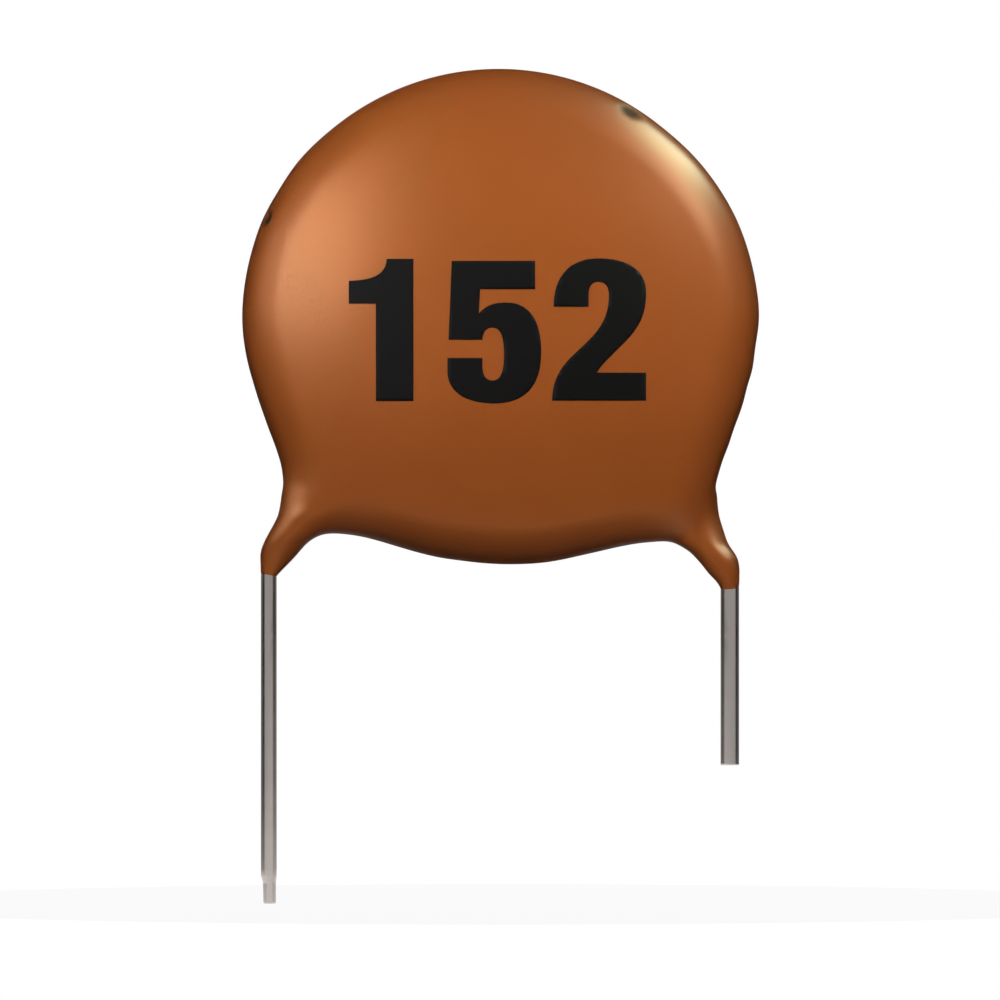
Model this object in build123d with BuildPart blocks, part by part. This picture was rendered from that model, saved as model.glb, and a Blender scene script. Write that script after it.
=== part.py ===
"""Ceramic disc capacitor: a silvered ceramic disc with two soldered wire leads,
dipped in a resin coating that runs a little way down each lead.

Z = 0 is the seating plane, where the longer coated leg ends and the board begins.
The leads run down along -Z, half the pitch each side of Z, and the marked face looks
along -Y. A side of -1 is the left and 1 the right, a face of -1 the front and 1 the back.
"""

import os
from math import asin, cos, radians, sin, sqrt, tan

from build123d import *

os.makedirs("parts", exist_ok=True)

# Driving dimensions in millimetres, angles in degrees.

lead_pitch = 10.0
wire_diameter = 0.38
wire_bend_radius = 0.6
wire_bend_height = 0.55
tip_chamfer = 0.05
long_lead_drop = 6.8
short_lead_drop = 3.8

ceramic_lift = 0.1
ceramic_diameter = 9.4
ceramic_thickness = 0.9
electrode_margin = 0.4
electrode_thickness = 0.03

landing_clearance = 0.3
wire_end_radius = 0.8
solder_film = 0.02
solder_cover = 0.12
solder_width = 0.95
solder_end_margin = 0.25
solder_taper = 25

flank_height = 1.16
crown_radius = 5.65
side_start_angle = -1.8
side_taper_angle = 18.0
side_radius = 3.0
lobe_lift = 0.56
lobe_depth = 0.59
lobe_radius = 7.45
lobe_shift = 0.16
shoulder_radius = 0.75
notch_radius = 2.0

coat_thickness = 3.6
rim_thickness = 1.6
face_dome_radius = 22.0
face_dome_reach = 3.6
face_blend_radius = 3.2
lens_overhang = 0.7
rim_fillet = 0.65

long_leg_coat_end = 0.32
short_leg_coat_end = 0.0
foot_wall = 0.04
leg_sway = 0.5
leg_fillet = 0.3

# The leg's oval sections. The lower two are placed from the end of the coating and from
# the wire, the upper three from the corner where the body's side meets its flank.

ankle_rise, ankle_inset, ankle_width, ankle_depth = 0.39, 0.10, 0.72, 0.68
calf_rise, calf_inset, calf_width, calf_depth = 0.76, 0.30, 0.86, 0.80
knee_rise, knee_inset, knee_width, knee_depth = 0.20, -0.10, 1.00, 0.94
root_rise, root_inset, root_width, root_depth = 0.76, 0.24, 1.32, 1.04
hip_rise, hip_inset, hip_width, hip_depth = 1.60, 1.14, 1.44, 1.04

# Nearer than this, an edge counts as lying on a solid.

touching = 0.001

# Sizes that follow from the dimensions above.

wire_radius = wire_diameter / 2
ceramic_radius = ceramic_diameter / 2
electrode_radius = ceramic_radius - electrode_margin
electrode_face = ceramic_thickness / 2 + electrode_thickness
wire_level = electrode_face + solder_film + wire_radius

lobe_drop = crown_radius - lobe_lift
flank_drop = lobe_drop - lobe_depth
waist_x = crown_radius * cos(radians(side_start_angle))
waist_y = crown_radius * sin(radians(side_start_angle))
flank_x = waist_x - (flank_drop + waist_y) * tan(radians(side_taper_angle))
coat_height = flank_height + flank_drop
ceramic_height = coat_height + ceramic_lift


def lead_corners(side, face, tip_height):
    """Corners of a wire's centre line, from its free tip to its end on the electrode.
    Above its bend the wire heads straight for the middle of the ceramic."""
    lead_x = side * lead_pitch / 2
    middle = Vector(0, face * wire_level, ceramic_height)
    outward = Vector(lead_x, 0, wire_bend_height - ceramic_height).normalized()
    tip = Vector(lead_x, 0, tip_height)
    bend = Vector(lead_x, 0, wire_bend_height)
    landing = middle + outward * (ceramic_radius + landing_clearance)
    end = middle + outward * wire_end_radius
    return tip, bend, landing, end


def make_lead(side, face, tip_height):
    """A round wire, bent inwards above its leg and again flat along the electrode."""
    corners = lead_corners(side, face, tip_height)
    with BuildPart() as lead:
        with BuildLine() as route:
            FilletPolyline(*corners, radius=wire_bend_radius)
        with BuildSketch(Plane(corners[0], z_dir=(0, 0, 1))):
            Circle(wire_radius)
        sweep(path=route.line)
        tip_edge = lead.edges().filter_by(GeomType.CIRCLE).sort_by(Axis.Z)[0]
        chamfer(tip_edge, tip_chamfer)
    return lead


def make_electrode(face):
    """Fired silver on one face of the ceramic, with a bare margin round its edge."""
    on_ceramic = Plane((0, face * ceramic_thickness / 2, ceramic_height), z_dir=(0, face, 0))
    with BuildPart() as electrode:
        with BuildSketch(on_ceramic):
            Circle(electrode_radius)
        extrude(amount=electrode_thickness)
    return electrode


def make_solder(side, face, lead):
    """A mound of solder along the end of a wire, round-ended and flat on the electrode."""
    landing, end = lead_corners(side, face, 0)[2:]
    on_electrode = Vector(0, face * (electrode_face - wire_level), 0)
    outward = (landing - end).normalized()
    run = electrode_radius - solder_end_margin - solder_width - wire_end_radius
    mound_height = solder_film + wire_diameter + solder_cover
    mound = Plane(end + on_electrode, x_dir=outward, z_dir=(0, face, 0))
    with BuildPart() as solder:
        with BuildSketch(mound):
            with Locations((run / 2, 0)):
                SlotCenterToCenter(run, solder_width)
        extrude(amount=mound_height, taper=solder_taper)
        add(lead.part, mode=Mode.SUBTRACT)
    return solder


def make_coat_body():
    """Half a disc on tapering sides, over a low lobe between two shallow notches. Its
    faces are domed like a lens, and the rim is rounded all the way along."""
    lobe_half = sqrt(lobe_radius**2 - (lobe_radius - lobe_depth) ** 2)
    lobe_left, lobe_right = lobe_shift - lobe_half, lobe_shift + lobe_half

    half_thickness = coat_thickness / 2
    dome_slope = asin(face_dome_reach / face_dome_radius)
    dome_edge = half_thickness - face_dome_radius * (1 - cos(dome_slope))
    cone_slope = (dome_edge - rim_thickness / 2) / (crown_radius - face_dome_reach)
    lens_x = crown_radius + lens_overhang
    lens_y = rim_thickness / 2 - lens_overhang * cone_slope
    back = Plane((0, coat_thickness / 2, coat_height), x_dir=(1, 0, 0), z_dir=(0, -1, 0))
    with BuildPart() as body:
        with BuildSketch(back) as outline:
            with BuildLine():
                CenterArc((0, 0), crown_radius, side_start_angle, 180 - 2 * side_start_angle)
                Polyline((waist_x, waist_y), (flank_x, -flank_drop), (lobe_right, -flank_drop))
                ThreePointArc(
                    (lobe_right, -flank_drop), (lobe_shift, -lobe_drop), (lobe_left, -flank_drop)
                )
                Polyline((lobe_left, -flank_drop), (-flank_x, -flank_drop), (-waist_x, waist_y))
            make_face()
            flank_row, waist_row = outline.vertices().group_by(Axis.Y)
            shoulder_left, notch_left, notch_right, shoulder_right = flank_row.sort_by(Axis.X)
            fillet(waist_row, side_radius)
            fillet([notch_left, notch_right], notch_radius)
            fillet([shoulder_left, shoulder_right], shoulder_radius)
        extrude(amount=coat_thickness)
        with BuildSketch(Plane((0, 0, coat_height))):
            with BuildLine():
                RadiusArc((0, half_thickness), (face_dome_reach, dome_edge), face_dome_radius)
                Polyline((face_dome_reach, dome_edge), (lens_x, lens_y), (lens_x, 0), (0, 0))
                Line((0, 0), (0, half_thickness))
            face = make_face()
            dome_corner = face.vertices().sort_by(Axis.Y)[-2]
            fillet(dome_corner, face_blend_radius)
            mirror(about=Plane.XZ)
        revolve(axis=Axis((0, 0, coat_height), (0, 1, 0)), mode=Mode.INTERSECT)
        rim_edges = [
            edge
            for edge in body.edges()
            if min(abs(vertex.Y) for vertex in edge.vertices()) > rim_thickness / 4
        ]
        fillet(rim_edges, rim_fillet)
    return body


def make_leg(side, face, coat_end):
    """Coating drawn down a lead: a chain of oval sections, narrow at the seating end,
    that rises into the body and sways part of the way with the wire inside it."""
    lead_x, foot_width = lead_pitch / 2, wire_diameter + 2 * foot_wall
    sections = [
        (lead_x, coat_end, foot_width, foot_width),
        (lead_x - ankle_inset, coat_end + ankle_rise, ankle_width, ankle_depth),
        (lead_x - calf_inset, coat_end + calf_rise, calf_width, calf_depth),
        (flank_x - knee_inset, flank_height + knee_rise, knee_width, knee_depth),
        (flank_x - root_inset, flank_height + root_rise, root_width, root_depth),
        (flank_x - hip_inset, flank_height + hip_rise, hip_width, hip_depth),
    ]
    bend, landing = lead_corners(side, face, 0)[1:3]
    centres = []
    for centre_x, height, _, _ in sections:
        climb = min(max((height - bend.Z) / (landing.Z - bend.Z), 0), 1)
        centres.append(Vector(side * centre_x, face * wire_level * climb * leg_sway, height))
    with BuildPart() as leg:
        for index, (_, _, width, depth) in enumerate(sections):
            direction = Vector(0, 0, 1)
            if index:
                direction = centres[min(index + 1, len(centres) - 1)] - centres[index - 1]
            level_x = Vector(0, 1, 0).cross(direction)
            with BuildSketch(Plane(centres[index], x_dir=level_x, z_dir=direction)):
                Ellipse(width / 2, depth / 2)
        loft()
    return leg


# The ceramic dielectric, a plain pressed disc, and the silver fired on its two faces.

with BuildPart() as ceramic_disc:
    with BuildSketch(
        Plane((0, ceramic_thickness / 2, ceramic_height), x_dir=(1, 0, 0), z_dir=(0, -1, 0))
    ):
        Circle(ceramic_radius)
    extrude(amount=ceramic_thickness)

front_electrode = make_electrode(-1)
back_electrode = make_electrode(1)

# The wires: the long one lies on the front electrode, the short one on the back.

long_lead = make_lead(-1, -1, -long_lead_drop)
short_lead = make_lead(1, 1, -short_lead_drop)
front_solder = make_solder(-1, -1, long_lead)
back_solder = make_solder(1, 1, short_lead)

# The coating, moulded over all of them.

coat_body = make_coat_body()
long_leg = make_leg(-1, -1, long_leg_coat_end)
short_leg = make_leg(1, 1, short_leg_coat_end)
with BuildPart() as coating:
    add(coat_body.part)
    for leg in (long_leg, short_leg):
        add(leg.part)
        crease = [
            edge
            for edge in coating.edges(Select.NEW)
            if coat_body.part.distance_to(edge @ 0.5) < touching
        ]
        fillet(crease, leg_fillet)
    for inside in (
        ceramic_disc,
        front_electrode,
        back_electrode,
        front_solder,
        back_solder,
        long_lead,
        short_lead,
    ):
        add(inside.part, mode=Mode.SUBTRACT)

named_parts = {
    "coating": coating,
    "ceramic_disc": ceramic_disc,
    "front_electrode": front_electrode,
    "back_electrode": back_electrode,
    "front_solder": front_solder,
    "back_solder": back_solder,
    "long_lead": long_lead,
    "short_lead": short_lead,
}
for name, built in named_parts.items():
    built.part.label = name
    export_step(built.part, f"parts/{name}.step")
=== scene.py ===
"""Ceramic disc capacitor with a value code, standing on its longer lead in a small studio.

Lengths are written in millimetres, and become metres where Blender takes them. The scale
of a pattern is how often it repeats in a metre, so a metre over the pattern's size.
"""

import math

import bmesh
import bpy
import numpy as np
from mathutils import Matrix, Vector
from mathutils.bvhtree import BVHTree


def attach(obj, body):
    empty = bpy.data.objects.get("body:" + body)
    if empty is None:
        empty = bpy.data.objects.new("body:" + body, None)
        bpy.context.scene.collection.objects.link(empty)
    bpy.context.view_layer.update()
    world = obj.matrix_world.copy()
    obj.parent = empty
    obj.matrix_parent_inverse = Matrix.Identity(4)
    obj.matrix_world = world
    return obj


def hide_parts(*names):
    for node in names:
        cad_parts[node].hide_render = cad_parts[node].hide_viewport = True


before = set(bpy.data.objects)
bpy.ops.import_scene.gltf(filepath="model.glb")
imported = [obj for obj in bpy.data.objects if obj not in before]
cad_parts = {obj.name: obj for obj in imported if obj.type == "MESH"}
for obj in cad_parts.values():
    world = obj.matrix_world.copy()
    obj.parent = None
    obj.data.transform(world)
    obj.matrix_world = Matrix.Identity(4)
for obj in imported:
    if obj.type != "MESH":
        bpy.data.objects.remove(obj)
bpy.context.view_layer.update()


# The ceramic dielectric: barium titanate powder, pressed into a disc and sintered. It
# lies sealed in the coating, so it shows only where someone cuts the part open.

METRE = 1000.0
PORE_SIZE = 0.04
PORE_DEPTH = 0.004


def linear(hex_colour):
    """The linear colour that a shader socket takes, from an sRGB hex value."""
    channels = [int(hex_colour[start : start + 2], 16) / 255 for start in (1, 3, 5)]
    curved = [
        value / 12.92 if value <= 0.04045 else ((value + 0.055) / 1.055) ** 2.4
        for value in channels
    ]
    return (*curved, 1.0)


def empty_material(name):
    """A material with no nodes yet."""
    material = bpy.data.materials.new(name)
    material.use_nodes = True
    material.node_tree.nodes.clear()
    return material


def add_node(material, kind, settings=None, sockets=None):
    """Add a node, set its properties, and fill its sockets with values or with links.
    A Mix node mixes the colours in its sockets 6 and 7 to its output 2, and the numbers in
    its sockets 2 and 3 to its output 0."""
    tree = material.node_tree
    node = tree.nodes.new(kind)
    for name, value in (settings or {}).items():
        setattr(node, name, value)
    for name, value in (sockets or {}).items():
        if isinstance(value, bpy.types.NodeSocket):
            tree.links.new(value, node.inputs[name])
        else:
            node.inputs[name].default_value = value
    return node


# Sintered barium titanate is dry and chalky: a buff body, mottled by fine open pores.

titanate = empty_material("sintered_barium_titanate")
place = add_node(titanate, "ShaderNodeTexCoord").outputs["Object"]
pores = add_node(
    titanate,
    "ShaderNodeTexNoise",
    sockets={"Vector": place, "Scale": METRE / PORE_SIZE, "Detail": 3.0},
)
mottle = add_node(
    titanate,
    "ShaderNodeMix",
    {"data_type": "RGBA"},
    {0: pores.outputs["Fac"], 6: linear("#B5A281"), 7: linear("#D2C2A6")},
)
pitting = add_node(
    titanate,
    "ShaderNodeBump",
    sockets={"Strength": 0.4, "Distance": PORE_DEPTH / METRE, "Height": pores.outputs["Fac"]},
)
surface = add_node(
    titanate,
    "ShaderNodeBsdfPrincipled",
    sockets={
        "Base Color": mottle.outputs[2],
        "Roughness": 0.85,
        "IOR": 1.6,
        "Normal": pitting.outputs["Normal"],
    },
)
add_node(titanate, "ShaderNodeOutputMaterial", sockets={"Surface": surface.outputs["BSDF"]})

ceramic_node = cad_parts["ceramic_disc"]
ceramic_node.data.materials.clear()
ceramic_node.data.materials.append(titanate)


# The electrodes: silver paste screened on both faces of the ceramic and fired on. The
# screen's mesh leaves a faint print in the matt silver.

SCREEN_PITCH = 0.09
PRINT_DEPTH = 0.003

fired_silver = empty_material("fired_silver_paste")
place = add_node(fired_silver, "ShaderNodeTexCoord").outputs["Object"]
screen = add_node(
    fired_silver,
    "ShaderNodeTexVoronoi",
    sockets={"Vector": place, "Scale": METRE / SCREEN_PITCH, "Randomness": 0.35},
)
polish = add_node(
    fired_silver,
    "ShaderNodeMapRange",
    sockets={"Value": screen.outputs["Distance"], "To Min": 0.38, "To Max": 0.55},
)
print_relief = add_node(
    fired_silver,
    "ShaderNodeBump",
    sockets={
        "Strength": 0.3,
        "Distance": PRINT_DEPTH / METRE,
        "Height": screen.outputs["Distance"],
    },
)
surface = add_node(
    fired_silver,
    "ShaderNodeBsdfPrincipled",
    sockets={
        "Base Color": linear("#D9D6CE"),
        "Metallic": 1.0,
        "Roughness": polish.outputs["Result"],
        "Normal": print_relief.outputs["Normal"],
    },
)
add_node(fired_silver, "ShaderNodeOutputMaterial", sockets={"Surface": surface.outputs["BSDF"]})

for electrode_name in ("front_electrode", "back_electrode"):
    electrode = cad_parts[electrode_name]
    electrode.data.materials.clear()
    electrode.data.materials.append(fired_silver)


# The leads: copper-clad steel wire, drawn and hot-tinned, bent over the ceramic so that
# each lies on its own electrode. Cutters pinched the longer tip and sheared the shorter.

LEAD_X = 5.0
LONG_LEAD_TIP = -6.8
SHORT_LEAD_TIP = -3.8
TIP_LENGTH = 0.6
TIP_STEPS = 30
SHAFT_LENGTH = 3.4
SHAFT_STEP = 0.15
BEND_HEIGHT = 0.55
BEND_RADIUS = 0.6
BEND_STEPS = 12
WIRE_SIDES = 48

# Each wire lands on its electrode and ends there, both given as x and height. Its middle is
# then this far in front of the part's middle, or behind it.

LANDING = (3.46, 2.15)
WIRE_END = (0.554, 5.18)
WIRE_LEVEL = 0.69


def route_points(side, face, tip_height):
    """Points down the middle of a wire, closer together in its bends and at its tip."""
    corners = [
        Vector((side * LEAD_X, 0, tip_height)),
        Vector((side * LEAD_X, 0, BEND_HEIGHT)),
        Vector((side * LANDING[0], face * WIRE_LEVEL, LANDING[1])),
        Vector((side * WIRE_END[0], face * WIRE_LEVEL, WIRE_END[1])),
    ]
    tip_heights = np.linspace(0, TIP_LENGTH, TIP_STEPS + 1)
    shaft_heights = np.arange(TIP_LENGTH + SHAFT_STEP, SHAFT_LENGTH, SHAFT_STEP)
    heights = np.concatenate((tip_heights, shaft_heights))
    points = [corners[0] + Vector((0, 0, height)) for height in heights]
    for before, corner, after in zip(corners, corners[1:], corners[2:]):
        inward = (before - corner).normalized()
        onward = (after - corner).normalized()
        half_angle = inward.angle(onward) / 2
        setback = BEND_RADIUS / math.tan(half_angle)
        centre = corner + (inward + onward).normalized() * BEND_RADIUS / math.sin(half_angle)
        start = corner + inward * setback - centre
        finish = corner + onward * setback - centre
        swing = start.angle(finish)
        for turned in np.linspace(0, swing, BEND_STEPS + 1):
            spoke = start * math.sin(swing - turned) + finish * math.sin(turned)
            points.append(centre + spoke / math.sin(swing))
    points += [corners[2].lerp(corners[3], share) for share in (0.4, 0.6, 0.8, 1.0)]
    return points


def make_wire(name, points, across, deep, tip_scale, tip_lean):
    """A slightly oval wire along the points, with its half width and half depth. Its tip
    is drawn in by two curves of scale and shifted sideways by one of lean, each given as
    heights over the tip and values."""
    vertices = []
    faces = []
    tip = points[0]
    for index, point in enumerate(points):
        ahead = points[min(index + 1, len(points) - 1)]
        behind = points[max(index - 1, 0)]
        forward = (ahead - behind).normalized()
        sideways = Vector((0, 1, 0)).cross(forward).normalized()
        depthways = forward.cross(sideways)
        rise = (point - tip).length
        width, depth, shift = across, deep, 0.0
        if rise < TIP_LENGTH:
            width = across * np.interp(rise, *tip_scale[0])
            depth = deep * np.interp(rise, *tip_scale[1])
            shift = np.interp(rise, *tip_lean)
        for turn in range(WIRE_SIDES):
            angle = 2 * math.pi * turn / WIRE_SIDES
            outward = sideways * math.cos(angle) * width + depthways * math.sin(angle) * depth
            vertices.append((point + outward + Vector((shift, 0, 0))) / METRE)
    for ring in range(len(points) - 1):
        for turn in range(WIRE_SIDES):
            first = ring * WIRE_SIDES + turn
            second = ring * WIRE_SIDES + (turn + 1) % WIRE_SIDES
            faces.append((first, second, second + WIRE_SIDES, first + WIRE_SIDES))
    faces.append(tuple(reversed(range(WIRE_SIDES))))
    last = (len(points) - 1) * WIRE_SIDES
    faces.append(tuple(range(last, last + WIRE_SIDES)))
    mesh = bpy.data.meshes.new(name)
    mesh.from_pydata(vertices, [], faces)
    mesh.shade_smooth()
    wire = bpy.data.objects.new(name, mesh)
    bpy.context.scene.collection.objects.link(wire)
    return wire


# Hot-tinned wire is a soft grey metal: the tin went on molten, so it is satin rather than
# bright, with faint lines along the wire that the drawing die left and a few dull clouds.

DRAW_LINE_WIDTH = 0.02
DRAW_LINE_LENGTH = 1.2
DRAW_LINE_DEPTH = 0.001
CLOUD_SIZE = 0.5

tinned_wire = empty_material("hot_tinned_copper_clad_steel")
place = add_node(tinned_wire, "ShaderNodeTexCoord").outputs["Object"]
along = add_node(
    tinned_wire,
    "ShaderNodeMapping",
    sockets={
        "Vector": place,
        "Scale": (METRE / DRAW_LINE_WIDTH, METRE / DRAW_LINE_WIDTH, METRE / DRAW_LINE_LENGTH),
    },
)
draw_lines = add_node(
    tinned_wire,
    "ShaderNodeTexNoise",
    sockets={"Vector": along.outputs["Vector"], "Scale": 1.0, "Detail": 2.0},
)
clouds = add_node(
    tinned_wire,
    "ShaderNodeTexNoise",
    sockets={"Vector": place, "Scale": METRE / CLOUD_SIZE, "Detail": 4.0},
)
tarnish = add_node(
    tinned_wire,
    "ShaderNodeMix",
    {"data_type": "RGBA"},
    {0: clouds.outputs["Fac"], 6: linear("#C9BFB8"), 7: linear("#D6CEC9")},
)
satin = add_node(
    tinned_wire,
    "ShaderNodeMapRange",
    sockets={"Value": clouds.outputs["Fac"], "To Min": 0.28, "To Max": 0.36},
)
line_relief = add_node(
    tinned_wire,
    "ShaderNodeBump",
    sockets={
        "Strength": 0.1,
        "Distance": DRAW_LINE_DEPTH / METRE,
        "Height": draw_lines.outputs["Fac"],
    },
)
surface = add_node(
    tinned_wire,
    "ShaderNodeBsdfPrincipled",
    sockets={
        "Base Color": tarnish.outputs[2],
        "Metallic": 1.0,
        "Roughness": satin.outputs["Result"],
        "Normal": line_relief.outputs["Normal"],
    },
)
add_node(tinned_wire, "ShaderNodeOutputMaterial", sockets={"Surface": surface.outputs["BSDF"]})

long_lead = make_wire(
    "tinned_long_lead",
    route_points(-1, -1, LONG_LEAD_TIP),
    across=0.170,
    deep=0.195,
    tip_scale=(((0.0, 0.02, 0.45, 0.6), (0.74, 0.80, 0.82, 1.0)), ((0.0, 0.6), (0.9, 1.0))),
    tip_lean=((0.0, 0.45, 0.6), (0.018, 0.014, 0.0)),
)
short_lead = make_wire(
    "tinned_short_lead",
    route_points(1, 1, SHORT_LEAD_TIP),
    across=0.200,
    deep=0.185,
    tip_scale=(((0.0, 0.02, 0.6), (0.95, 1.0, 1.0)), ((0.0, 0.02, 0.6), (0.95, 1.0, 1.0))),
    tip_lean=((0.0, 0.6), (0.0, 0.0)),
)
for wire, node_name in ((long_lead, "long_lead"), (short_lead, "short_lead")):
    wire.data.materials.append(tinned_wire)
    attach(wire, "root")
    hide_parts(node_name)


# The solder: a mound along the end of each wire, flowed on when the assembly was dipped
# in the solder bath, before the coating went on. It froze with soft ripples in its skin.

RIPPLE_WIDTH = 0.25
RIPPLE_DEPTH = 0.02

solder_skin = empty_material("dip_soldered_tin_alloy")
place = add_node(solder_skin, "ShaderNodeTexCoord").outputs["Object"]
ripples = add_node(
    solder_skin,
    "ShaderNodeTexNoise",
    sockets={"Vector": place, "Scale": METRE / RIPPLE_WIDTH, "Detail": 1.0},
)
frost = add_node(
    solder_skin,
    "ShaderNodeMapRange",
    sockets={"Value": ripples.outputs["Fac"], "To Min": 0.2, "To Max": 0.4},
)
wave = add_node(
    solder_skin,
    "ShaderNodeBump",
    sockets={
        "Strength": 0.4,
        "Distance": RIPPLE_DEPTH / METRE,
        "Height": ripples.outputs["Fac"],
    },
)
surface = add_node(
    solder_skin,
    "ShaderNodeBsdfPrincipled",
    sockets={
        "Base Color": linear("#C3C2C4"),
        "Metallic": 1.0,
        "Roughness": frost.outputs["Result"],
        "Normal": wave.outputs["Normal"],
    },
)
add_node(solder_skin, "ShaderNodeOutputMaterial", sockets={"Surface": surface.outputs["BSDF"]})

for mound_name in ("front_solder", "back_solder"):
    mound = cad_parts[mound_name]
    mound.data.materials.clear()
    mound.data.materials.append(solder_skin)


# The coating: pigmented phenolic resin. The part is dipped with its leads upwards, so the
# resin draws out along them in two legs, and surface tension rounds everything else.

DISC_MIDDLE = 5.66

# How far in from its edge the rim rounds off, by a curve that is squarer than an ellipse
# where its power is over two, and how widely each leg flows into the body.

RIM_ROUNDING = 0.95
RIM_POWER = 2.3
LEG_BLEND = 0.55

# The outline's radius round the middle of the disc, by angle from the right, turning up.

OUTLINE_ANGLES = (
    0, 4, 11, 18, 25, 32, 40, 50, 62, 76, 90, 104, 118, 130, 140, 148, 155, 162, 169, 176, 180,
    186, 193, 200, 207, 211, 215, 219, 224, 228.5, 232, 236, 240.5, 245.5, 250.5, 255.5, 260.5,
    265.5, 270, 275, 280, 285, 289.5, 294.5, 299, 303.5, 307, 311, 315.5, 320.5, 323, 326.5,
    329.5, 333, 336.5, 340, 344, 347, 351, 354, 357.5,
)
OUTLINE_RADII = (
    5.62, 5.65, 5.65, 5.66, 5.67, 5.66, 5.65, 5.62, 5.63, 5.635, 5.64, 5.645, 5.65, 5.655, 5.68,
    5.65, 5.66, 5.63, 5.61, 5.59, 5.57, 5.52, 5.455, 5.435, 5.47, 5.54, 5.68, 5.86, 5.98, 5.90,
    5.62, 5.41, 5.28, 5.20, 5.155, 5.125, 5.09, 5.09, 5.10, 5.12, 5.155, 5.185, 5.215, 5.29,
    5.39, 5.555, 5.77, 6.02, 6.12, 5.93, 5.82, 5.70, 5.61, 5.58, 5.525, 5.525, 5.53, 5.51, 5.57,
    5.555, 5.575,
)

# Half the thickness of the lens, by distance from the middle of the disc.

LENS_REACH = (0.0, 1.0, 1.5, 2.0, 2.5, 3.0, 3.5, 4.0, 4.5, 5.0, 5.6, 6.4, 8.0)
LENS_HALF = (1.82, 1.80, 1.77, 1.725, 1.66, 1.58, 1.47, 1.335, 1.18, 1.005, 0.79, 0.53, 0.30)

# The legs by height: inner and outer edge, half depth, and how far the middle leans
# towards the face that the wire inside lies on.

LONG_LEG = (
    (0.18, 0.27, 0.32, 0.43, 0.54, 0.65, 0.76, 0.86, 0.97, 1.08, 1.19, 1.60, 2.10, 2.60, 3.00),
    (4.93, 4.86, 4.81, 4.71, 4.60, 4.49, 4.40, 4.31, 4.24, 4.13, 3.99, 3.62, 3.20, 2.80, 2.70),
    (5.08, 5.15, 5.175, 5.18, 5.18, 5.18, 5.19, 5.17, 5.13, 5.08, 5.02, 4.78, 4.62, 4.20, 3.40),
    (0.08, 0.17, 0.21, 0.24, 0.28, 0.32, 0.36, 0.39, 0.42, 0.45, 0.47, 0.50, 0.46, 0.35, 0.15),
    (0.00, 0.00, 0.00, 0.00, 0.00, 0.02, 0.05, 0.09, 0.12, 0.15, 0.18, 0.27, 0.30, 0.28, 0.25),
)
SHORT_LEG = (
    (-0.14, -0.05, 0.0, 0.10, 0.21, 0.32, 0.43, 0.54, 0.65, 0.76, 0.86, 0.97, 1.60, 2.10, 3.00),
    (4.92, 4.84, 4.80, 4.77, 4.69, 4.56, 4.48, 4.40, 4.31, 4.22, 4.13, 3.96, 3.50, 3.10, 2.70),
    (5.08, 5.16, 5.20, 5.20, 5.21, 5.21, 5.22, 5.20, 5.19, 5.13, 5.07, 4.97, 4.74, 4.62, 3.40),
    (0.08, 0.16, 0.20, 0.21, 0.24, 0.28, 0.31, 0.34, 0.37, 0.40, 0.43, 0.46, 0.55, 0.60, 0.20),
    (0.00, 0.00, 0.00, 0.00, 0.00, 0.00, 0.00, 0.00, 0.02, 0.05, 0.09, 0.12, 0.28, 0.36, 0.36),
)

# Dents in the skin: where each is, how far it spreads, how deep it goes, how far the painted
# shade in it reaches and what share of the pigment that painted shade hides.

SKIN_DENTS = (
    ((-5.03, -0.36, 8.04), 0.08, 0.12, 0.21, 1.0),
    ((2.86, -0.46, 10.38), 0.12, 0.08, 0.30, 0.9),
)

# How far the corners of each list are blurred, and the spacing of its fair curve. The
# outline's are in degrees.

OUTLINE_BLUR = 1.6
OUTLINE_STEP = 0.25
LENS_BLUR = 0.35
LENS_STEP = 0.02
LEG_BLUR = 0.07
LEG_STEP = 0.01

# A blur reaches this many of its widths each way, in this many samples, and an open curve
# runs on past its ends by this many.

BLUR_REACH = 2.5
BLUR_SAMPLES = 21
BLURS_PAST_ENDS = 3


def faired(knots, values, blur, step, period=None):
    """A finely spaced smooth curve near the knots: straight runs, blurred together."""
    if period:
        fine = np.arange(0, period, step)
    else:
        margin = BLURS_PAST_ENDS * blur
        fine = np.arange(knots[0] - margin, knots[-1] + margin, step)
    smooth = np.zeros_like(fine)
    total = 0.0
    for shift in np.linspace(-BLUR_REACH, BLUR_REACH, BLUR_SAMPLES):
        weight = math.exp(-shift * shift / 2)
        smooth += weight * np.interp(fine + shift * blur, knots, values, period=period)
        total += weight
    return fine, smooth / total


outline_at, outline_radius = faired(
    OUTLINE_ANGLES, OUTLINE_RADII, OUTLINE_BLUR, OUTLINE_STEP, period=360
)
outline_slope = np.gradient(np.tile(outline_radius, 3), math.radians(OUTLINE_STEP))
outline_slope = outline_slope[len(outline_at) : 2 * len(outline_at)]
lens_at, lens_half = faired(LENS_REACH, LENS_HALF, LENS_BLUR, LENS_STEP)
leg_curves = []
for side, face, leg in ((-1, -1, LONG_LEG), (1, 1, SHORT_LEG)):
    curves = [faired(leg[0], column, LEG_BLUR, LEG_STEP) for column in leg[1:]]
    leg_curves.append((side, face, curves))

# The legs are trimmed a little inside the ends of their curves. Where the lens is thick, a
# depth in it counts as if it were this thick to the middle.

LEG_TRIM = 0.2
LARGEST_LENS_SCALE = 1.0


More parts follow.
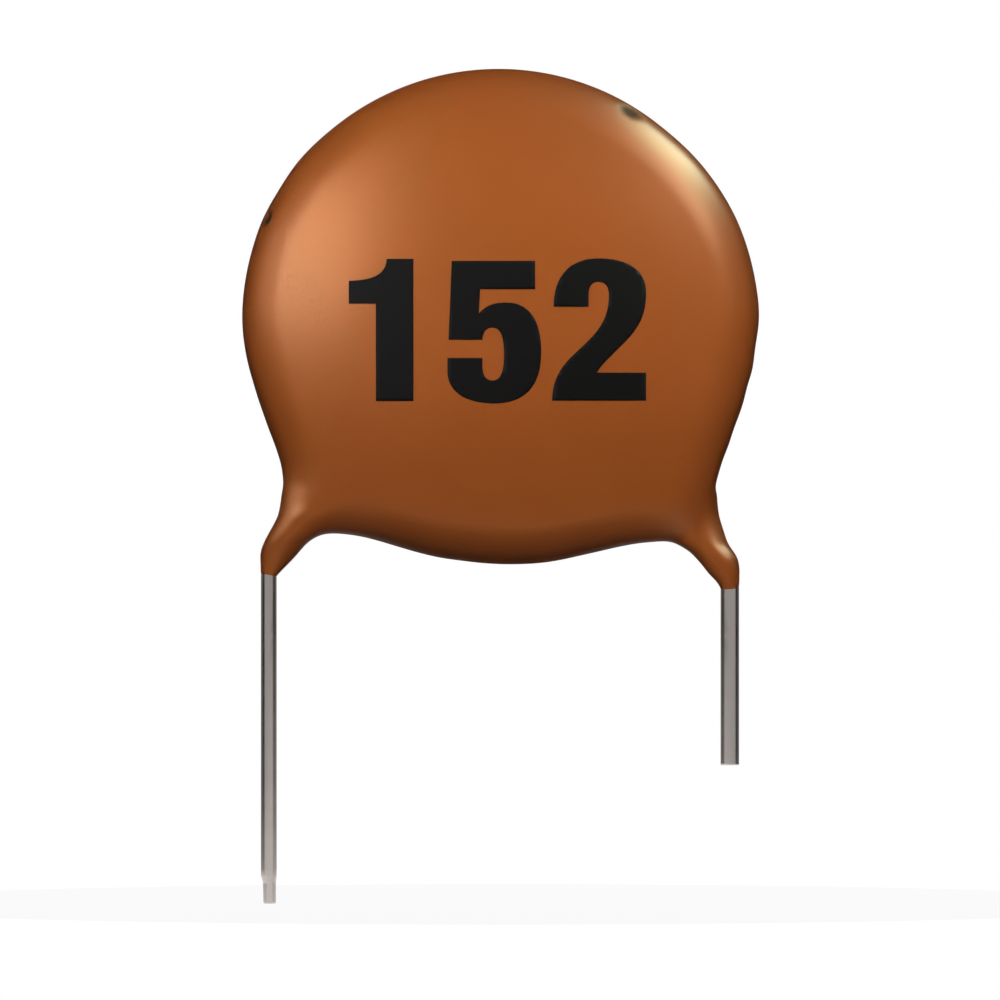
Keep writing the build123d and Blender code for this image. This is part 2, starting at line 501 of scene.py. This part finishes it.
def resin_depth(points):
    """How far points in millimetres are outside the resin's skin, or inside if negative."""
    x, y, z = points[..., 0], points[..., 1], points[..., 2]
    rise = z - DISC_MIDDLE
    reach = np.hypot(x, rise)
    angle = np.degrees(np.arctan2(rise, x)) % 360
    radius = np.interp(angle, outline_at, outline_radius, period=360)
    slope = np.interp(angle, outline_at, outline_slope, period=360)
    inside = (radius - reach) / np.sqrt(1 + (slope / radius) ** 2)
    half = np.interp(reach, lens_at, lens_half)
    rounding = np.maximum(RIM_ROUNDING - inside, 0) / RIM_ROUNDING
    level = (np.abs(y) / half) ** RIM_POWER + rounding**RIM_POWER
    depth = (level ** (1 / RIM_POWER) - 1) * np.minimum(half, LARGEST_LENS_SCALE)
    for side, face, curves in leg_curves:
        inner, outer, deep, lean = [np.interp(z, at, values) for at, values in curves]
        half_width = (outer - inner) / 2
        across = (side * x - (inner + outer) / 2) / half_width
        through = (face * y - lean) / deep
        leg_depth = (np.hypot(across, through) - 1) * np.minimum(half_width, deep)
        leg_heights = curves[0][0]
        below_foot = leg_heights[0] + LEG_TRIM - z
        above_hip = z - (leg_heights[-1] - LEG_TRIM)
        leg_depth = np.maximum(leg_depth, np.maximum(below_foot, above_hip))

        # Where leg and body lie within a blend of each other, a smooth hollow joins them.

        near = np.maximum(LEG_BLEND - np.abs(depth - leg_depth), 0) / LEG_BLEND
        depth = np.minimum(depth, leg_depth) - near**3 * LEG_BLEND / 6
    for centre, spread, dent, _, _ in SKIN_DENTS:
        away = ((points - np.array(centre)) ** 2).sum(axis=-1)
        depth = depth + dent * np.exp(-away / (2 * spread * spread))
    return depth


NUDGE = 0.002


def skin_slope(points):
    """The direction in which points leave the resin, and how fast."""
    slope = np.zeros_like(points)
    for axis in range(3):
        nudge = np.zeros(3)
        nudge[axis] = NUDGE
        rise = resin_depth(points + nudge) - resin_depth(points - nudge)
        slope[:, axis] = rise / (2 * NUDGE)
    return slope


def find_skin(lines):
    """The skin as points and four-sided faces: a point in each cell of a grid that the
    skin crosses, and a face round each crossed edge."""
    nodes = np.stack(np.meshgrid(*lines, indexing="ij"), axis=-1)
    depth = resin_depth(nodes)
    cells = tuple(size - 1 for size in depth.shape)
    total = np.zeros((*cells, 3))
    count = np.zeros(cells)
    corners = []
    for axis in range(3):
        before = depth.take(range(depth.shape[axis] - 1), axis)
        after = depth.take(range(1, depth.shape[axis]), axis)
        crossed = (before < 0) != (after < 0)
        low = np.argwhere(crossed)
        high = low.copy()
        high[:, axis] += 1
        share = (before[crossed] / (before[crossed] - after[crossed]))[:, None]
        point = nodes[tuple(low.T)] * (1 - share) + nodes[tuple(high.T)] * share
        leaves = before[crossed] < 0
        if axis == 1:
            leaves = ~leaves
        first, second = [other for other in range(3) if other != axis]
        around = []
        for back in ((0, 0), (1, 0), (1, 1), (0, 1)):
            cell = low.copy()
            cell[:, first] -= back[0]
            cell[:, second] -= back[1]
            np.add.at(total, tuple(cell.T), point)
            np.add.at(count, tuple(cell.T), 1)
            around.append(np.ravel_multi_index(tuple(cell.T), cells))
        around = np.stack(around, axis=1)
        around[~leaves] = around[~leaves][:, ::-1]
        corners.append(around)
    used = count > 0
    numbers = np.full(count.size, -1)
    numbers[used.ravel()] = np.arange(used.sum())
    return total[used] / count[used][:, None], numbers[np.concatenate(corners)]


# The grid is finer where the legs are, and just larger than the coating.

SKIN_STEP = 0.075
FINE_STEP = 0.05
LEGS_FROM = 3.8
LEGS_TO = 5.5
LEGS_TOP = 1.6
GRID_REACH = 5.95
GRID_DEPTH = 2.1
GRID_FOOT = -0.4
GRID_TOP = 11.6

side_line = np.arange(LEGS_FROM, LEGS_TO, FINE_STEP)
middle_line = np.arange(-LEGS_FROM + SKIN_STEP, LEGS_FROM - SKIN_STEP / 2, SKIN_STEP)
edge_line = np.arange(LEGS_TO, GRID_REACH, SKIN_STEP)
across_line = np.concatenate(
    (-edge_line[::-1], -side_line[::-1], middle_line, side_line, edge_line)
)
depth_line = np.arange(-GRID_DEPTH, GRID_DEPTH + SKIN_STEP / 2, SKIN_STEP)
leg_line = np.arange(GRID_FOOT, LEGS_TOP, FINE_STEP)
disc_line = np.arange(LEGS_TOP, GRID_TOP, SKIN_STEP)
height_line = np.concatenate((leg_line, disc_line))

# The points then settle on the skin in a few short moves.

SETTLING_ROUNDS = 4
LARGEST_MOVE = 0.03
LEAST_STEEPNESS = 0.05

skin_points, skin_faces = find_skin((across_line, depth_line, height_line))
for _ in range(SETTLING_ROUNDS):
    slope = skin_slope(skin_points)
    steepness = np.maximum((slope**2).sum(axis=1), LEAST_STEEPNESS)
    move = resin_depth(skin_points) / steepness
    skin_points -= slope * np.clip(move, -LARGEST_MOVE, LARGEST_MOVE)[:, None]
skin_normals = skin_slope(skin_points)
skin_normals /= np.linalg.norm(skin_normals, axis=1)[:, None]

coating_mesh = bpy.data.meshes.new("dipped_coating")
coating_mesh.from_pydata(skin_points / METRE, [], skin_faces.tolist())
coating_mesh.shade_smooth()
coating_mesh.normals_split_custom_set_from_vertices(skin_normals)
coating = bpy.data.objects.new("dipped_coating", coating_mesh)
bpy.context.scene.collection.objects.link(coating)

# Cured phenolic resin, brown with iron oxide. It set smooth but full of pigment up to its
# skin, so its lights are broad, soft-edged and warm. The pigment drifted a little as it
# ran, which leaves faint clouds and a slow wave.

FLOW_SIZE = 2.5
FLOW_DEPTH = 0.02
GRAIN_SIZE = 0.06

resin = empty_material("dipped_phenolic_resin")
place = add_node(resin, "ShaderNodeTexCoord").outputs["Object"]
drift = add_node(
    resin,
    "ShaderNodeTexNoise",
    sockets={"Vector": place, "Scale": METRE / FLOW_SIZE, "Detail": 2.0},
)
grain = add_node(
    resin,
    "ShaderNodeTexNoise",
    sockets={"Vector": place, "Scale": METRE / GRAIN_SIZE, "Detail": 2.0},
)
pigment = add_node(
    resin,
    "ShaderNodeMix",
    {"data_type": "RGBA"},
    {0: drift.outputs["Fac"], 6: linear("#A05222"), 7: linear("#AB5A27")},
)

# Painted shade darkens the dents. It is black and dull in the middle, thins out over most of its
# reach, and has a ragged edge.

RAG_SIZE = 0.15
RAG_DEPTH = 0.12
DENT_SHADE_THINS_AT = 0.4
DENT_SHADE_ENDS_AT = 1.2

ragged = add_node(
    resin,
    "ShaderNodeTexNoise",
    sockets={"Vector": place, "Scale": METRE / RAG_SIZE, "Detail": 2.0},
)
painted_dent_shade = None
for centre, _, _, shade_reach, shade_share in SKIN_DENTS:
    away = add_node(
        resin,
        "ShaderNodeVectorMath",
        {"operation": "DISTANCE"},
        {0: place, 1: Vector(centre) / METRE},
    )
    frayed = add_node(
        resin,
        "ShaderNodeMath",
        {"operation": "MULTIPLY_ADD"},
        {0: ragged.outputs["Fac"], 1: RAG_DEPTH / METRE, 2: away.outputs["Value"]},
    )
    dent_shade_here = add_node(
        resin,
        "ShaderNodeMapRange",
        sockets={
            "Value": frayed.outputs[0],
            "From Min": (RAG_DEPTH / 2 + shade_reach * DENT_SHADE_THINS_AT) / METRE,
            "From Max": (RAG_DEPTH / 2 + shade_reach * DENT_SHADE_ENDS_AT) / METRE,
            "To Min": shade_share,
            "To Max": 0.0,
        },
    ).outputs["Result"]
    if painted_dent_shade:
        dent_shade_here = add_node(
            resin, "ShaderNodeMath", {"operation": "MAXIMUM"}, {0: painted_dent_shade, 1: dent_shade_here}
        ).outputs[0]
    painted_dent_shade = dent_shade_here
# The painted dent shade mixes the pigment towards near black.
dent_shaded = add_node(
    resin,
    "ShaderNodeMix",
    {"data_type": "RGBA"},
    {0: painted_dent_shade, 6: pigment.outputs[2], 7: linear("#0B0604")},
)
sheen_width = add_node(
    resin,
    "ShaderNodeMapRange",
    sockets={"Value": grain.outputs["Fac"], "To Min": 0.32, "To Max": 0.38},
)
# The painted dent shade also raises the roughness in the dents.
dullness = add_node(
    resin,
    "ShaderNodeMix",
    {"data_type": "FLOAT"},
    {0: painted_dent_shade, 2: sheen_width.outputs["Result"], 3: 0.9},
)
flow = add_node(
    resin,
    "ShaderNodeBump",
    sockets={"Strength": 0.15, "Distance": FLOW_DEPTH / METRE, "Height": drift.outputs["Fac"]},
)
surface = add_node(
    resin,
    "ShaderNodeBsdfPrincipled",
    sockets={
        "Base Color": dent_shaded.outputs[2],
        "Roughness": dullness.outputs[0],
        "IOR": 1.5,
        "Specular Tint": linear("#FFCF9E"),
        "Normal": flow.outputs["Normal"],
    },
)
add_node(resin, "ShaderNodeOutputMaterial", sockets={"Surface": surface.outputs["BSDF"]})
coating.data.materials.append(resin)
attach(coating, "root")
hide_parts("coating")


# The value code, 15 followed by two noughts in picofarads: ink printed on the cured
# coating by a soft pad, in heavy figures that follow the curve of the face.

INK_THICKNESS = 0.012
INK_LIFT = 0.006
INK_REACH = 3.3
INK_STEP = 0.12
CURVE_STEPS = 16

# Each figure is drawn from a start: a pair is a straight line to that point, and six
# numbers are a curve's two handles and its end. They are measured from the disc's middle.

FIGURE_ONE = (
    ((-2.662, -1.575), (-2.662, 0.527), (-3.247, 0.527), (-3.247, 1.02)),
    ((-2.76, 1.03, -2.447, 1.13, -2.43, 1.49), (-1.85, 1.49), (-1.85, -1.575)),
)
FIGURE_FIVE = (
    ((-1.026, 1.445), (0.774, 1.445), (0.774, 0.833), (-0.412, 0.833), (-0.436, 0.319)),
    (
        (-0.31, 0.475, -0.115, 0.547, 0.137, 0.547),
        (0.666, 0.547, 0.905, 0.15, 0.905, -0.523),
        (0.905, -1.282, 0.536, -1.629, -0.115, -1.629),
        (-0.722, -1.629, -1.119, -1.37, -1.119, -0.935),
        (-1.119, -0.649),
        (-0.362, -0.649),
        (-0.362, -0.805),
        (-0.362, -1.022, -0.289, -1.134, -0.145, -1.134),
        (0.026, -1.134, 0.1, -0.957, 0.1, -0.566),
        (0.1, -0.197, 0.037, 0.004, -0.145, 0.004),
        (-0.278, 0.004, -0.356, -0.089, -0.362, -0.258),
        (-1.095, -0.258),
    ),
)
FIGURE_TWO = (
    ((1.171, 0.456),),
    (
        (1.171, 1.126, 1.534, 1.501, 2.141, 1.501),
        (2.77, 1.501, 3.167, 1.256, 3.167, 0.757),
        (3.167, 0.237, 2.987, -0.024, 2.64, -0.371),
        (2.445, -0.566, 2.184, -0.805, 2.104, -0.963),
        (3.167, -0.963),
        (3.167, -1.566),
        (1.139, -1.566),
        (1.139, -1.0, 1.447, -0.718, 1.729, -0.458),
        (2.098, -0.11, 2.362, 0.15, 2.362, 0.692),
        (2.362, 0.887, 2.293, 0.998, 2.148, 0.998),
        (1.989, 0.998, 1.924, 0.887, 1.924, 0.692),
        (1.924, 0.456),
    ),
)


def pen_stroke(lines, curves):
    """The corners of a closed figure, with its curves in short steps."""
    points = [np.array(point) for point in lines]
    for move in curves:
        if len(move) == 2:
            points.append(np.array(move))
            continue
        start = points[-1]
        first, second, end = np.array(move).reshape(3, 2)
        for share in np.linspace(0, 1, CURVE_STEPS + 1)[1:]:
            rest = 1 - share
            points.append(
                rest**3 * start
                + 3 * rest**2 * share * first
                + 3 * rest * share**2 * second
                + share**3 * end
            )
    return points


figures = bpy.data.curves.new("printed_value", "CURVE")
figures.dimensions = "2D"
figures.fill_mode = "BOTH"
for lines, curves in (FIGURE_ONE, FIGURE_FIVE, FIGURE_TWO):
    corners = pen_stroke(lines, curves)
    spline = figures.splines.new("POLY")
    spline.points.add(len(corners) - 1)
    for point, corner in zip(spline.points, corners):
        point.co = (corner[0], corner[1], 0, 1)
    spline.use_cyclic_u = True
flat_figures = bpy.data.objects.new("flat_figures", figures)
flat_mesh = bpy.data.meshes.new_from_object(flat_figures)

# The flat figures are cut into a fine lattice, which is pressed on the coating from the
# front as the pad does it.

PAD_START = -5.0

print_mesh = bmesh.new()
print_mesh.from_mesh(flat_mesh)
for direction in ((1, 0, 0), (0, 1, 0)):
    for offset in np.arange(-INK_REACH, INK_REACH, INK_STEP):
        bmesh.ops.bisect_plane(
            print_mesh,
            geom=print_mesh.verts[:] + print_mesh.edges[:] + print_mesh.faces[:],
            dist=1e-5,
            plane_co=Vector(direction) * offset,
            plane_no=direction,
        )
skin_tree = BVHTree.FromPolygons(skin_points.tolist(), skin_faces.tolist())
for vertex in print_mesh.verts:
    on_pad = Vector((vertex.co.x, PAD_START, vertex.co.y + DISC_MIDDLE))
    touch, normal, _, _ = skin_tree.ray_cast(on_pad, Vector((0, 1, 0)))
    vertex.co = (touch + normal * INK_LIFT) / METRE
ink_mesh = bpy.data.meshes.new("printed_value")
print_mesh.to_mesh(ink_mesh)
print_mesh.free()
ink_mesh.shade_smooth()
printed_value = bpy.data.objects.new("printed_value", ink_mesh)
bpy.context.scene.collection.objects.link(printed_value)
bpy.data.objects.remove(flat_figures)
bpy.data.curves.remove(figures)

film = printed_value.modifiers.new("ink_film", "SOLIDIFY")
film.thickness = INK_THICKNESS / METRE
film.offset = 0.0

# Pad-printing ink, loaded with carbon: a dense black with a low satin gloss and a speckle
# finer than the render can show, drawn about twice as coarse.

INK_SPECK = 0.03

ink = empty_material("pad_printed_carbon_ink")
place = add_node(ink, "ShaderNodeTexCoord").outputs["Object"]
speckle = add_node(
    ink,
    "ShaderNodeTexNoise",
    sockets={"Vector": place, "Scale": METRE / INK_SPECK, "Detail": 3.0},
)
density = add_node(
    ink,
    "ShaderNodeMix",
    {"data_type": "RGBA"},
    {0: speckle.outputs["Fac"], 6: linear("#030202"), 7: linear("#080504")},
)
dryness = add_node(
    ink,
    "ShaderNodeMapRange",
    sockets={"Value": speckle.outputs["Fac"], "To Min": 0.55, "To Max": 0.75},
)
surface = add_node(
    ink,
    "ShaderNodeBsdfPrincipled",
    sockets={
        "Base Color": density.outputs[2],
        "Roughness": dryness.outputs["Result"],
        "IOR": 1.45,
        "Specular IOR Level": 0.15,
    },
)
add_node(ink, "ShaderNodeOutputMaterial", sockets={"Surface": surface.outputs["BSDF"]})
printed_value.data.materials.append(ink)
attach(printed_value, "root")


# The camera looks straight at the marked face through a very long lens, from a little
# under the middle of the part's height.

CAMERA_DISTANCE = 300.0
CAMERA_SHIFT = 0.015
CAMERA_LEVEL = 1.949
FRAME_WIDTH = 21.69
SENSOR_WIDTH = 36.0

camera_data = bpy.data.cameras.new("camera")
camera_data.sensor_width = SENSOR_WIDTH
camera_data.lens = SENSOR_WIDTH * CAMERA_DISTANCE / FRAME_WIDTH
camera_data.clip_start = 0.01
camera_data.clip_end = 10.0
camera = bpy.data.objects.new("camera", camera_data)
camera.location = Vector((CAMERA_SHIFT, -CAMERA_DISTANCE, CAMERA_LEVEL)) / METRE
camera.rotation_euler = (math.pi / 2, 0, 0)
bpy.context.scene.collection.objects.link(camera)
bpy.context.scene.camera = camera
bpy.context.scene.view_settings.view_transform = "Standard"


# The floor is a round sheet of white card at the tip of the longer lead. What looks at it
# sees it nearly white, with the object's shadow left in it.

FLOOR_RADIUS = 15.0
FLOOR_SIDES = 72
FLOOR_GLOW = 0.94

floor_points = []
for side in range(FLOOR_SIDES):
    turn = 2 * math.pi * side / FLOOR_SIDES
    outward = Vector((math.cos(turn), math.sin(turn), 0))
    floor_points.append((outward * FLOOR_RADIUS + Vector((0, 0, LONG_LEAD_TIP))) / METRE)
floor_mesh = bpy.data.meshes.new("floor")
floor_mesh.from_pydata(floor_points, [], [tuple(range(FLOOR_SIDES))])
floor = bpy.data.objects.new("floor", floor_mesh)
bpy.context.scene.collection.objects.link(floor)


def seen_directly(material):
    """One for a ray that looks at a surface, straight, mirrored or through glass."""
    ray = add_node(material, "ShaderNodeLightPath")
    looked_at = add_node(
        material,
        "ShaderNodeMath",
        {"operation": "MAXIMUM"},
        {0: ray.outputs["Is Camera Ray"], 1: ray.outputs["Is Glossy Ray"]},
    )
    return add_node(
        material,
        "ShaderNodeMath",
        {"operation": "MAXIMUM"},
        {0: looked_at.outputs[0], 1: ray.outputs["Is Transmission Ray"]},
    ).outputs[0]


white_card = empty_material("white_card")
paleness = add_node(
    white_card,
    "ShaderNodeMath",
    {"operation": "MULTIPLY"},
    {0: seen_directly(white_card), 1: FLOOR_GLOW},
)
card = add_node(white_card, "ShaderNodeBsdfDiffuse", sockets={"Color": linear("#B4B4B2")})
glow = add_node(white_card, "ShaderNodeEmission", sockets={"Strength": 1.0})
pale = add_node(
    white_card,
    "ShaderNodeMixShader",
    sockets={0: paleness.outputs[0], 1: card.outputs["BSDF"], 2: glow.outputs["Emission"]},
)
add_node(white_card, "ShaderNodeOutputMaterial", sockets={"Surface": pale.outputs["Shader"]})
floor.data.materials.append(white_card)

# A card covered in black velvet lies between the leads. It shows in gloss alone, and keeps
# the coating's lower rim dark.

CARD_HALF_WIDTH = 4.3
CARD_HALF_DEPTH = 2.8
CARD_LEVEL = -1.0

card_mesh = bpy.data.meshes.new("black_card")
card_mesh.from_pydata(
    [
        Vector((across * CARD_HALF_WIDTH, deep * CARD_HALF_DEPTH, CARD_LEVEL)) / METRE
        for across, deep in ((-1, -1), (1, -1), (1, 1), (-1, 1))
    ],
    [],
    [(0, 1, 2, 3)],
)
black_card = bpy.data.objects.new("black_card", card_mesh)
black_card.visible_camera = False
black_card.visible_diffuse = False
black_card.visible_shadow = False
black_card.visible_transmission = False
bpy.context.scene.collection.objects.link(black_card)

black_cloth = empty_material("black_velvet")
cloth = add_node(black_cloth, "ShaderNodeBsdfDiffuse", sockets={"Color": linear("#202020")})
add_node(black_cloth, "ShaderNodeOutputMaterial", sockets={"Surface": cloth.outputs["BSDF"]})
black_card.data.materials.append(black_cloth)

# Beyond the floor the backdrop is white to what looks at it, and dimmer as a light.

BACKDROP_LIGHT = 0.3

backdrop = bpy.data.worlds.new("white_backdrop")
bpy.context.scene.world = backdrop
backdrop.use_nodes = True
backdrop.node_tree.nodes.clear()
dim = add_node(
    backdrop,
    "ShaderNodeBackground",
    sockets={"Color": linear("#FFFFFF"), "Strength": BACKDROP_LIGHT},
)
white = add_node(
    backdrop, "ShaderNodeBackground", sockets={"Color": linear("#FFFFFF"), "Strength": 1.0}
)
chosen = add_node(
    backdrop,
    "ShaderNodeMixShader",
    sockets={0: seen_directly(backdrop), 1: dim.outputs[0], 2: white.outputs[0]},
)
add_node(backdrop, "ShaderNodeOutputWorld", sockets={"Surface": chosen.outputs["Shader"]})

# A tent stands round the object, out of sight. Its front is white cloth lit dimly from
# outside, which the gloss picks up as a haze. The rest is black velvet, and gives the dark
# edges. The tent's arc and the white cloth's half turn and foot are in degrees.

TENT_RADIUS = 280.0
TENT_ARC = 176
TENT_ROWS = 23
TENT_SIDES = 48
WHITE_CLOTH_HALF_TURN = 70.0
WHITE_CLOTH_FOOT = -8.0
WHITE_CLOTH_GLOW = 0.06

tent_points = []
tent_faces = []
cloth_kinds = []
for row in range(TENT_ROWS):
    lift = math.radians(TENT_ARC) * (row / (TENT_ROWS - 1) - 0.5)
    for side in range(TENT_SIDES):
        turn = 2 * math.pi * side / TENT_SIDES
        outward = Vector(
            (math.sin(turn) * math.cos(lift), -math.cos(turn) * math.cos(lift), math.sin(lift))
        )
        tent_points.append(outward * TENT_RADIUS / METRE)
for row in range(TENT_ROWS - 1):
    middle_lift = TENT_ARC * ((row + 0.5) / (TENT_ROWS - 1) - 0.5)
    for side in range(TENT_SIDES):
        first = row * TENT_SIDES + side
        second = row * TENT_SIDES + (side + 1) % TENT_SIDES
        tent_faces.append((first, second, second + TENT_SIDES, first + TENT_SIDES))
        middle_turn = abs((360 * (side + 0.5) / TENT_SIDES + 180) % 360 - 180)
        lit = middle_turn < WHITE_CLOTH_HALF_TURN and middle_lift > WHITE_CLOTH_FOOT
        cloth_kinds.append(int(lit))
tent_mesh = bpy.data.meshes.new("cloth_tent")
tent_mesh.from_pydata(tent_points, [], tent_faces)
tent_mesh.polygons.foreach_set("material_index", cloth_kinds)
tent = bpy.data.objects.new("cloth_tent", tent_mesh)
bpy.context.scene.collection.objects.link(tent)
tent.visible_camera = False

white_cloth = empty_material("lit_white_cloth")
cloth = add_node(white_cloth, "ShaderNodeEmission", sockets={"Strength": WHITE_CLOTH_GLOW})
add_node(white_cloth, "ShaderNodeOutputMaterial", sockets={"Surface": cloth.outputs["Emission"]})
tent.data.materials.append(black_cloth)
tent.data.materials.append(white_cloth)


# The lamps: soft boxes a hand's width from the object. The first two, a strip in front and
# a large box behind, light its colour and stay out of its gloss.


def add_lamp(name, azimuth, elevation, distance, width, height, power, aim=0.0, beam=180.0):
    """A soft box that faces a point so far above the middle of the disc. Azimuth 0 is the
    camera's side, and 90 the object's right."""
    lamp_data = bpy.data.lights.new(name, "AREA")
    lamp_data.shape = "RECTANGLE"
    lamp_data.size = width / METRE
    lamp_data.size_y = height / METRE
    lamp_data.energy = power
    lamp_data.spread = math.radians(beam)
    lamp = bpy.data.objects.new(name, lamp_data)
    turn, lift = math.radians(azimuth), math.radians(elevation)
    outward = Vector(
        (math.sin(turn) * math.cos(lift), -math.cos(turn) * math.cos(lift), math.sin(lift))
    )
    lamp.location = (outward * distance + Vector((0, 0, DISC_MIDDLE + aim))) / METRE
    lamp.rotation_euler = outward.to_track_quat("Z", "Y").to_euler()
    bpy.context.scene.collection.objects.link(lamp)
    lamp.visible_camera = False
    return lamp


front_strip = add_lamp("front_strip", 0, 22, 60, 60, 8, 0.0028, aim=1.5, beam=27)
back_box = add_lamp("back_soft_box", 175, 25, 100, 80, 60, 0.09)
for lamp in (front_strip, back_box):
    lamp.visible_glossy = False
    lamp.data.cycles.use_multiple_importance_sampling = False

# Two boxes on the left draw the broad sheen, and a glow and a window on the right the
# bright streak. They show in gloss alone.

left_box = add_lamp("left_soft_box", -42, 15, 80, 43, 38, 0.064)
left_far_box = add_lamp("left_far_box", -74, 14, 80, 32, 36, 0.014)
side_glow = add_lamp("side_glow", 54, 33, 90, 42, 35, 0.060)
side_window = add_lamp("side_window", 93, 46, 90, 64, 28, 0.145)
side_window.data.color = linear("#DCFFEA")[:3]
gloss_lamps = (left_box, left_far_box, side_glow, side_window)
for lamp in gloss_lamps:
    lamp.visible_diffuse = False

# Flags keep those four off the wires, which have six soft boxes of their own, given here
# by azimuth and power.

WIRE_BOXES = {-48: 0.007, 0: 0.007, 48: 0.007, 132: 0.003, 180: 0.003, 228: 0.003}

wires_only = bpy.data.collections.new("wires_lit_alone")
all_but_wires = bpy.data.collections.new("wires_flagged_off")
for wire in (long_lead, short_lead):
    wires_only.objects.link(wire)
    all_but_wires.objects.link(wire)
for flag in all_but_wires.collection_objects:
    flag.light_linking.link_state = "EXCLUDE"
for lamp in gloss_lamps:
    lamp.light_linking.receiver_collection = all_but_wires
for azimuth, power in WIRE_BOXES.items():
    wire_box = add_lamp(f"wire_box_{azimuth}", azimuth, 8, 90, 78, 60, power, aim=-6)
    wire_box.light_linking.receiver_collection = wires_only
